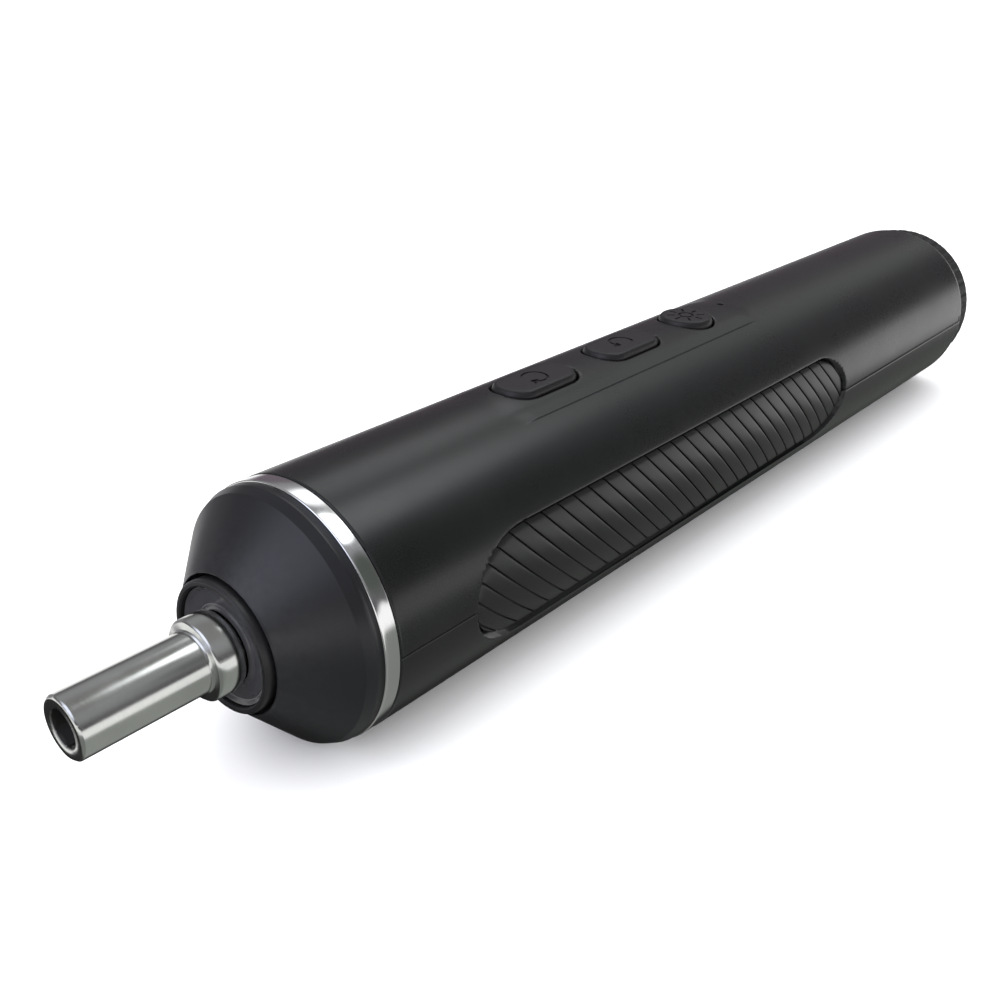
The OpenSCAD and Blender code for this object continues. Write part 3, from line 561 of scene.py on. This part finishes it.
def skin(upper):
    """The closed outer body of one shell: a fine skin on its own half, plain on the other."""
    xs = steps((1.4, 2.4, 1.0), (2.4, 2.8, 0.1), (2.8, 13, 1.2), (13, 22, 0.3), (22, 29, 0.5), (29, 39, 0.6),
               (39, 105, 0.31), (105, 121, 0.35), (121, 176, 2.2), (176, 178.2, 0.6), (178.2, 180, 0.15), (180, 181, 1.0))
    if upper:
        half = steps((0, 20, 0.8), (20, 26, 0.35), (26, 58, 1.6), (58, 67, 0.5), (67, 88, 2.2), (88, 91, 0.3))
        rest = steps((91, 180, 9.9))
        pos = np.concatenate([half, rest[1:]])
    else:
        half = steps((89, 92, 0.3), (92, 113, 2.2), (113, 121, 0.5), (121, 160, 2.0), (160, 180, 1.0))
        rest = steps((0, 89, 8.9))
        pos = np.concatenate([rest[:-1], half])
    phi = np.radians(np.concatenate([-pos[::-1][:-1], pos[:-1]]))
    X, P = np.meshgrid(xs, phi, indexing="ij")
    r, edge_highlight_and_oxide = skin_radius(X, P)
    pts = np.stack([X, -r * np.sin(P), r * np.cos(P)], -1)
    me = make_mesh("skin", pts.reshape(-1, 3), wrap_grid(pts))
    fix_normals(me)
    return me


def store_highlight_oxide_mask(me, fn):
    """Stores a mask for each point from its place in mm: painted edge highlight on the plastics, oxide inside the
    spindle's bore.
    """
    co = np.zeros(len(me.vertices) * 3)
    me.vertices.foreach_get("co", co)
    at = me.attributes.get("edge_highlight_and_oxide") or me.attributes.new("edge_highlight_and_oxide", "FLOAT", "POINT")
    at.data.foreach_set("value", fn(co.reshape(-1, 3)).astype(np.float32))


def shell_edge_highlight(co):
    # painted edge highlight on the shells' outer face only
    x, y, z = co.T
    phi = np.arctan2(-y, z)
    _, w = skin_radius(x, phi)
    outer = np.hypot(y, z) > 16.9
    return np.where(outer, w, 0)


for node, upper in (("upper_shell", True), ("lower_shell", False)):
    me = boolean(cad_copy(node), skin(upper), "INTERSECT", node)
    store_highlight_oxide_mask(me, shell_edge_highlight)
    finish_piece(node + "_skin", me, node, angle=28)

# ---------------------------------------------------------------- turned outer parts


def refine(node, profile, n=224, angle=30, edge_highlight_and_oxide=None):
    """The CAD node cut back to a finely turned outside."""
    me = boolean(cad_copy(node), lathe(node, profile, n), "INTERSECT", node)
    if edge_highlight_and_oxide:
        store_highlight_oxide_mask(me, edge_highlight_and_oxide)
    return finish_piece(node + "_turned", me, node, angle)


I2 = 0.03
# the nose cone gets a painted edge highlight at its front lip and a fainter one at its shoulder
refine("nose_cone", fillet([(-9.4, 0.0), (-9.4, 9.0), (-9.2, 9.28 - I2), (-8.96, 9.48 - I2), (-2.4, 16.6 - I2), (-1.15, 17.2 - I2 - 0.01), (0.01, 17.2 - I2), (0.01, 15.4), (9.5, 15.38), (9.5, 0.0)],
                           [0, 0, 0.1, 0.25, 0.3, 0.15, 0, 0, 0, 0], 8), 256,
       edge_highlight_and_oxide=lambda co: np.clip(1 - np.abs(co[:, 0] + 9.0) / 0.25, 0, 1) * 0.5 + np.clip(1 - np.abs(co[:, 0] + 1.7) / 0.6, 0, 1) * 0.12)
refine("trim_ring", fillet([(-0.3, 0.0), (0.03, 0.0), (0.03, 17.42 - I2), (2.37, 17.42 - I2), (2.37, 0.0), (2.6, 0.0)][1:5],
                           [0, 0.2, 0.2, 0], 6), 256)
refine("spindle", fillet([(-30.29, 0.0), (-30.29, 3.937), (-14.2, 3.937), (-13.98, 4.12), (-13.89, 5.18), (-10.8, 5.18), (-10.38, 5.08), (-10.13, 4.83),
                          (-10.03, 4.48), (-9.0, 4.48), (-8.6, 3.98), (-6.6, 3.98), (-6.51, 3.49), (9.71, 3.49), (9.71, 0.0)],
                         [0, 0.4, 0.2, 0.1, 0.3, 0.4, 0.3, 0.2, 0.05, 0.1, 0.1, 0.02, 0, 0, 0], 6), 160,
       edge_highlight_and_oxide=lambda co: np.where((np.hypot(co[:, 1], co[:, 2]) < 2.55) & (co[:, 0] < -15) & (co[:, 0] > -30.25), 1.0, 0.0))

# front bezel and lens as turned rings
bez = fillet([(-10.3, 7.97), (-10.3, 8.45), (-10.05, 8.63), (-6.42, 8.63), (-6.42, 8.02), (-8.5, 8.02), (-8.7, 7.77), (-10.1, 7.77), (-10.3, 7.97)],
             [0, 0.15, 0.15, 0.1, 0.1, 0.1, 0.1, 0.1], 5)
finish_piece("front_bezel_turned", lathe("front_bezel", bez[:-1], 224, closed=True), "front_bezel", 40)
lens = fillet([(-9.72, 4.75), (-9.3, 5.3), (-9.3, 7.1), (-9.74, 7.72), (-8.65, 7.74), (-8.45, 7.93), (-8.22, 7.93), (-8.22, 4.72), (-9.72, 4.72)],
              [0.1, 0.35, 0.35, 0.08, 0.05, 0.05, 0.05, 0.05, 0.05], 6)
finish_piece("light_lens_turned", lathe("light_lens", lens, 224, closed=True), "light_lens", 40)

# torque ring: forty smooth flutes on a rounded rim
xs = steps((180.33, 180.37, 0.04), (180.37, 180.75, 0.06), (180.75, 184, 0.5), (184, 187.02, 0.15))
rim = fillet([(180.36, 15.0), (180.37, 16.32), (180.62, 16.58), (184.2, 16.58), (185.0, 16.43), (185.9, 15.98), (186.6, 15.28), (187.01, 14.3), (187.015, 12.0)],
             [0, 0.2, 0.25, 1.0, 1.0, 1.0, 0.8, 0.3, 0], 5)
ang = np.linspace(0, 2 * math.pi, 720, endpoint=False)
flute = (ang + math.radians(4.5)) % math.radians(9) - math.radians(4.5)
f = 17.3 * np.cos(flute) - np.sqrt(np.maximum(0.96 ** 2 - (17.3 * np.sin(flute)) ** 2, 0))
f = np.where(np.abs(17.3 * np.sin(flute)) < 0.96, f, 99)
rings = []
for px, pr in rim:
    depth = np.clip((pr - 13.0) / 2.0, 0, 1)
    rr = np.where(f < 50, smin(np.full_like(f, pr), np.where(f < 50, f - (16.58 - pr) * 0.0, 99), 0.10), pr)
    rings.append(np.stack([np.full_like(ang, px), -rr * np.sin(ang), rr * np.cos(ang)], 1))
me = make_mesh("rim", np.concatenate(rings), wrap_grid(rings))
fix_normals(me)
me = boolean(cad_copy("torque_ring"), me, "INTERSECT", "torque_ring")
# painted edge highlight on the rim's outer crests and near its rear edge
store_highlight_oxide_mask(me, lambda co: np.clip((np.hypot(co[:, 1], co[:, 2]) - 16.45) / 0.13, 0, 1) * 0.1 + np.clip(1 - np.abs(co[:, 0] - 186.5) / 0.6, 0, 1) * 0.1)
finish_piece("torque_ring_fluted", me, "torque_ring", 40)

# ---------------------------------------------------------------- buttons


def rrect_loop(hl, hw, r, n=28):
    """Rounded rectangle outline, n points to each quarter."""
    r = min(r, hl - 0.01, hw - 0.01)
    out = []
    for q, (sx, sy) in enumerate(((1, 1), (-1, 1), (-1, -1), (1, -1))):
        for k in range(n):
            a = math.radians(90 * q + 90 * k / (n - 1))
            out.append((sx * (hl - r) + r * math.cos(a), sy * (hw - r) + r * math.sin(a)))
    return np.array(out)


def circle_loop(r, n=28):
    out = []
    for q in range(4):
        for k in range(n):
            a = math.radians(90 * q + 90 * (k * (n - 1) / n + 0.5 * (n - 1) / n / 1.0 * 0) / (n - 1))
            out.append((r * math.cos(a), r * math.sin(a)))
    return np.array(out)


def stack(name, loops):
    """A closed body from (z, outline) loops, bottom to top."""
    rings = [np.column_stack([xy, np.full(len(xy), z)]) for z, xy in loops]
    n = len(rings[0])
    verts = np.concatenate(rings)
    faces = []
    for i in range(len(rings) - 1):
        a, b = i * n, (i + 1) * n
        for k in range(n):
            k2 = (k + 1) % n
            faces.append((a + k, a + k2, b + k2, b + k))
    faces.append(tuple(range(n))[::-1])
    faces.append(tuple(range((len(rings) - 1) * n, len(rings) * n)))
    me = make_mesh(name, verts, faces)
    bm = bmesh.new()
    bm.from_mesh(me)
    bmesh.ops.remove_doubles(bm, verts=bm.verts, dist=1e-4)
    bmesh.ops.recalc_face_normals(bm, faces=bm.faces)
    bm.to_mesh(me)
    bm.free()
    return me


def band(pts, w, z0, z1):
    """A flat band of width w along points, as a closed prism."""
    p = np.array(pts, float)
    t = np.gradient(p, axis=0)
    t /= np.linalg.norm(t, axis=1)[:, None]
    nrm = np.stack([-t[:, 1], t[:, 0]], 1)
    out = np.concatenate([p + nrm * w / 2, (p - nrm * w / 2)[::-1]])
    return prism(out, z0, z1)


def prism(outline, z0, z1):
    n = len(outline)
    v = [(x, y, z0) for x, y in outline] + [(x, y, z1) for x, y in outline]
    f = [tuple(range(n))[::-1], tuple(range(n, 2 * n))]
    f += [(k, (k + 1) % n, n + (k + 1) % n, n + k) for k in range(n)]
    return v, f


def join(parts):
    v, f = [], []
    for pv, pf in parts:
        o = len(v)
        v += pv
        f += [tuple(i + o for i in q) for q in pf]
    me = make_mesh("cutters", v, f)
    fix_normals(me)
    return me


def arc(r, a0, a1, n=24):
    a = np.radians(np.linspace(a0, a1, n))
    return np.stack([r * np.cos(a), r * np.sin(a)], 1)


def shift(part, dx):
    v, f = part
    return [(x + dx, y, z) for x, y, z in v], f


BT = 18.1


def key_profile(x, hl, hw, r, top):
    """Loops of a key: plunger, flange, wall, chamfer and a slightly crowned face."""
    loops = []
    loops.append((13.9, rrect_loop(1.4, 1.4, 1.39)))
    loops.append((14.0, rrect_loop(1.4, 1.4, 1.39)))
    loops.append((14.0, rrect_loop(hl + 0.95, hw + 1.0, 3.9)))
    loops.append((14.75, rrect_loop(hl + 0.95, hw + 1.0, 3.9)))
    loops.append((14.75, rrect_loop(hl, hw, r)))
    for inset, dz in ((0.0, -1.0), (0.02, -0.8), (0.08, -0.62), (0.17, -0.42), (0.27, -0.26), (0.34, -0.17), (0.42, -0.10), (0.52, -0.05), (0.66, -0.022), (0.9, -0.01), (1.8, 0.0)):
        loops.append((top + dz, rrect_loop(hl - inset, hw - inset, r - inset * 0.85)))
    return [(z, xy + np.array([x, 0])) for z, xy in loops]


def button_edge_highlight(x0, hl, hw, r, top):
    def fn(co):
        # painted edge highlight: a lighter band just inside the edge of the key's face
        d = -sd_rrect(co[:, 0] - x0, co[:, 1], hl, hw, r)
        return np.where(co[:, 2] > top - 0.7, np.clip(1 - np.abs(d - 0.45) / 0.3, 0, 1) * 0.15, 0)
    return fn


def arrow_cutters(x0, flip, z0, z1):
    """A round arrow: a long open arc with a two-barbed head on one end."""
    a0, a1 = (212, 500) if flip > 0 else (-38, 206)
    tip = a0 if flip > 0 else a1
    turn = -1 if flip > 0 else 1
    parts = [band(arc(1.9, a0, a1, 40), 0.36, z0, z1)]
    o = np.array([math.cos(math.radians(tip)), math.sin(math.radians(tip))])
    c = 1.9 * o
    d = np.array([-o[1], o[0]]) * turn
    for k, side in enumerate((0.8, -0.8)):
        parts.append(band(np.linspace(c + d * 0.25, c - d * 0.65 + o * side, 6), 0.34, z0 + 0.004 * (k + 1), z1 + 0.01 * (k + 1)))
    return [shift(p, x0) for p in parts]


for node, x0, flip in (("forward_button", BTN[0], 1), ("reverse_button", BTN[1], -1)):
    me = stack(node, key_profile(x0, 7.4, 3.75, 3.4, BT))
    for part in arrow_cutters(x0, flip, BT - 0.2, BT + 1):
        me = boolean(me, join([part]), "DIFFERENCE", node)
    store_highlight_oxide_mask(me, button_edge_highlight(x0, 7.4, 3.75, 3.4, BT))
    finish_piece(node + "_key", me, node, 38)

me = stack("light_button", key_profile(LIGHT, 4.58, 4.58, 4.57, BT))
cut = [band(np.concatenate([arc(1.15, 0, 360, 40)]), 0.38, BT - 0.2, BT + 1)]
me = boolean(me, join([shift(band(arc(1.15, 0, 182, 24), 0.38, BT - 0.2, BT + 1), LIGHT)]), "DIFFERENCE", "light_button")
me = boolean(me, join([shift(band(arc(1.15, 180, 362, 24), 0.38, BT - 0.202, BT + 1.01), LIGHT)]), "DIFFERENCE", "light_button")
for k in range(8):
    q = math.radians(45 * k)
    ray = [(r * math.cos(q), r * math.sin(q)) for r in (1.85, 2.3, 2.8, 3.25)]
    me = boolean(me, join([shift(band(ray, 0.36, BT - 0.2, BT + 1), LIGHT)]), "DIFFERENCE", "light_button")
store_highlight_oxide_mask(me, button_edge_highlight(LIGHT, 4.58, 4.58, 4.57, BT))
finish_piece("light_button_key", me, "light_button", 38)

# ---------------------------------------------------------------- ribbed grips


def grip_outline(grow, n=40):
    x0, x1, a0, a1, h = 16.3, 119.3, 10.3, 9.0, 7.45
    pts = []
    for i in range(n + 1):
        t = math.radians(90 + 180 * i / n)
        pts.append((x0 + a0 + (a0 + grow) * math.cos(t), (h + grow) * math.sin(t)))
    for i in range(n + 1):
        t = math.radians(-90 + 180 * i / n)
        pts.append((x1 - a1 + (a1 + grow) * math.cos(t), (h + grow) * math.sin(t)))
    return pts


# the grooves lean back towards their lower ends, on a gentle curve
PITCH = 3.47
RIB = [(-0.12, 16.55), (0.12, 16.55), (0.14, 16.88), (0.19, 16.945), (0.30, 16.97), (0.6, 16.985), (1.2, 16.988), (1.8, 16.985), (2.4, 16.975),
       (2.9, 16.96), (3.15, 16.94), (3.26, 16.915), (3.32, 16.86)]
prof = [(0.96 + PITCH * i + dx, r) for i in range(-2, 36) for dx, r in RIB]
for side, node in ((1, "grip_inlay_left"), (-1, "grip_inlay_right")):
    ph = np.radians(np.linspace(61, 119, 53))
    rings = []
    for px, pr in prof:
        z0 = pr * np.cos(ph)
        gx = px + 0.907 * (6 - z0) + 0.0163 * (6 - z0) ** 2
        edge = np.clip(1 + sd_grip(gx, z0, 0.0) / 0.55, 0, 1.2)
        rr = pr - 0.16 * edge ** 2 * (pr > 16.6)
        outer = np.stack([gx, -side * rr * np.sin(ph), rr * np.cos(ph)], 1)
        qi = ph[::-4]
        zi = 16.34 * np.cos(qi)
        gi = px + 0.907 * (6 - zi) + 0.0163 * (6 - zi) ** 2
        inner = np.stack([gi, -side * 16.34 * np.sin(qi), zi], 1)
        rings.append(np.concatenate([outer, inner]))
    me = make_mesh("ribs", np.concatenate(rings), wrap_grid(rings))
    fix_normals(me)
    out = grip_outline(-0.02)
    v = [(px, -side * 14.0, pz) for px, pz in out] + [(px, -side * 19.0, pz) for px, pz in out]
    n = len(out)
    fcs = [tuple(range(n)), tuple(range(n, 2 * n))[::-1]] + [(k, (k + 1) % n, n + (k + 1) % n, n + k) for k in range(n)]
    pm = make_mesh("prism", v, fcs)
    fix_normals(pm)
    me = boolean(me, pm, "INTERSECT", node)
    finish_piece(node + "_ribs", me, node, 30)

# ---------------------------------------------------------------- stage, light and camera


def floor():
    me = bpy.data.meshes.new("floor")
    s = 30.0
    me.from_pydata([(-s, -s, 0), (s, -s, 0), (s, s, 0), (-s, s, 0)], [], [(0, 1, 2, 3)])
    ob = make_object("floor", me)
    ob.location.z = -0.00002
    t = Tree("floor_paint")
    t.set(t.ramp(t.noise(3, 2), [(0.3, (0.90, 0.90, 0.905)), (0.7, (0.915, 0.915, 0.92))]), 0.55, None, IOR=1.3)
    me.materials.append(t.mat)
    ob.visible_glossy = False


floor()


def sun(name, az, el, angle, energy, color=(1, 1, 1)):
    """A soft far light. az is round from +X towards +Y, el above the floor."""
    d = bpy.data.lights.new(name, "SUN")
    d.angle = math.radians(angle)
    d.energy = energy
    d.color = color
    o = bpy.data.objects.new(name, d)
    bpy.context.scene.collection.objects.link(o)
    a, e = math.radians(az), math.radians(el)
    v = Vector((math.cos(e) * math.cos(a), math.cos(e) * math.sin(a), math.sin(e)))
    o.rotation_mode = "QUATERNION"
    o.rotation_quaternion = v.to_track_quat("Z", "Y")
    return o


for name, az, el, angle, energy in (("key", 105, 66, 70, 0.8), ("dome", 90, 88, 170, 4.4)):
    sun(name, az, el, angle, energy).visible_glossy = False

# The studio that the gloss shows: a pale band at the horizon, a dark room, two soft boxes.
world = bpy.data.worlds.new("studio")
bpy.context.scene.world = world
world.use_nodes = True
wt = world.node_tree
bg = wt.nodes["Background"]
W = Tree.__new__(Tree)
W.t = wt
W.coord = wt.nodes.new("ShaderNodeTexCoord")
direction = W.coord.outputs["Generated"]
sep = wt.nodes.new("ShaderNodeSeparateXYZ")
wt.links.new(direction, sep.inputs[0])
DX, DY, DZ = sep.outputs


def soft(fac, a, b):
    n = W.node("ShaderNodeMapRange", interpolation_type="SMOOTHSTEP")
    n.inputs["From Min"].default_value, n.inputs["From Max"].default_value = a, b
    W.link(fac, n.inputs["Value"])
    return n.outputs["Result"]


def toward(az, el):
    a, e = math.radians(az), math.radians(el)
    n = W.node("ShaderNodeVectorMath", operation="DOT_PRODUCT")
    n.inputs[1].default_value = (math.cos(e) * math.cos(a), math.cos(e) * math.sin(a), math.sin(e))
    W.link(direction, n.inputs[0])
    return n.outputs["Value"]


def cosd(a):
    return math.cos(math.radians(a))


dark = W.mix(soft(DZ, 0.15, 0.62), (0.105, 0.100, 0.108), (0.33, 0.33, 0.345))
dark = W.mix(soft(DZ, 0.75, 0.95), dark, (0.26, 0.26, 0.26))
# the floor's pale band reaches lower on the far left, seen by the shank
side_on = soft(DX, 0.52, 0.38)
in_front = soft(DX, -0.3, 0.0)
left = W.math("MULTIPLY", side_on, in_front)
low_edge = W.math("ADD", W.math("ADD", DZ, W.math("MULTIPLY", DY, 0.15)), 0.29)
low_edge = W.math("ADD", low_edge, W.math("MULTIPLY", left, 0.20))
ground = W.mix(soft(DY, 0.0, 0.26), (0.225, 0.236, 0.224), (0.03, 0.03, 0.03))
ground = W.mix(W.math("MULTIPLY", left, soft(DY, 0.4, 0.0)), ground, (0.33, 0.345, 0.33))
sky = W.mix(soft(DZ, 0.05, 0.13), (1.15, 1.15, 1.15), dark)
sky = W.mix(soft(low_edge, -0.05, 0.06), ground, sky)
LOBES = (
    (8, 36, 8, 22, (0.55, 0.56, 0.55)),
    (-12, 58, 10, 16, (2.8, 2.9, 2.95)),
    (38, 44, 6, 14, (1.5, 1.52, 1.54)),
    (172, 37, 12, 34, (1.40, 1.46, 1.75)),
    (-24, -6, 6, 13, (1.5, 1.5, 1.5)),
    (-48, 30, 9, 20, (0.09, 0.10, 0.09)),
    (-55, 3, 3, 8, (1.15, 1.15, 1.15)),
    (46, 6, 13, 21, (0.16, 0.135, 0.155)),
    (24, 12, 12, 20, (0.16, 0.135, 0.155)),
    (95, -2, 15, 23, (0.30, 0.29, 0.31)),
)
for az, el, r0, r1, c in LOBES:
    sky = W.mix(soft(toward(az, el), cosd(r1), cosd(r0)), sky, c)
wt.links.new(sky, bg.inputs["Color"])
bg.inputs["Strength"].default_value = 1.0

# camera: fitted place and direction in the tool's axes, turned by one degree about the axis
U = 17.5
C = np.array([-4.05, -5.46, 4.14]) * U
yaw, pitch, roll = math.radians(40.7), math.radians(-26.1), math.radians(-1.0)
fwd = np.array([math.cos(pitch) * math.cos(yaw), math.cos(pitch) * math.sin(yaw), math.sin(pitch)])
right = np.cross(fwd, (0, 0, 1))
right /= np.linalg.norm(right)
up = np.cross(right, fwd)
turn = np.array([[1, 0, 0], [0, math.cos(roll), -math.sin(roll)], [0, math.sin(roll), math.cos(roll)]])
C, fwd, right, up = turn @ C, turn @ fwd, turn @ right, turn @ up
cam_data = bpy.data.cameras.new("camera")
cam = bpy.data.objects.new("camera", cam_data)
bpy.context.scene.collection.objects.link(cam)
cam_data.sensor_width = 36.0
cam_data.lens = 36.0 * 1100 / 1000
cam_data.clip_start, cam_data.clip_end = 0.005, 100
m = Matrix.Identity(4)
for i in range(3):
    m[i][0], m[i][1], m[i][2] = right[i], up[i], -fwd[i]
m[0][3], m[1][3], m[2][3] = (C[0] + SX) / 1000, C[1] / 1000, (C[2] + SZ) / 1000
cam.matrix_world = m
bpy.context.scene.camera = cam

vs = bpy.context.scene.view_settings
vs.view_transform = "Standard"
vs.look = "None"
vs.exposure = 0.0
vs.gamma = 1.0

bpy.context.view_layer.update()
import json
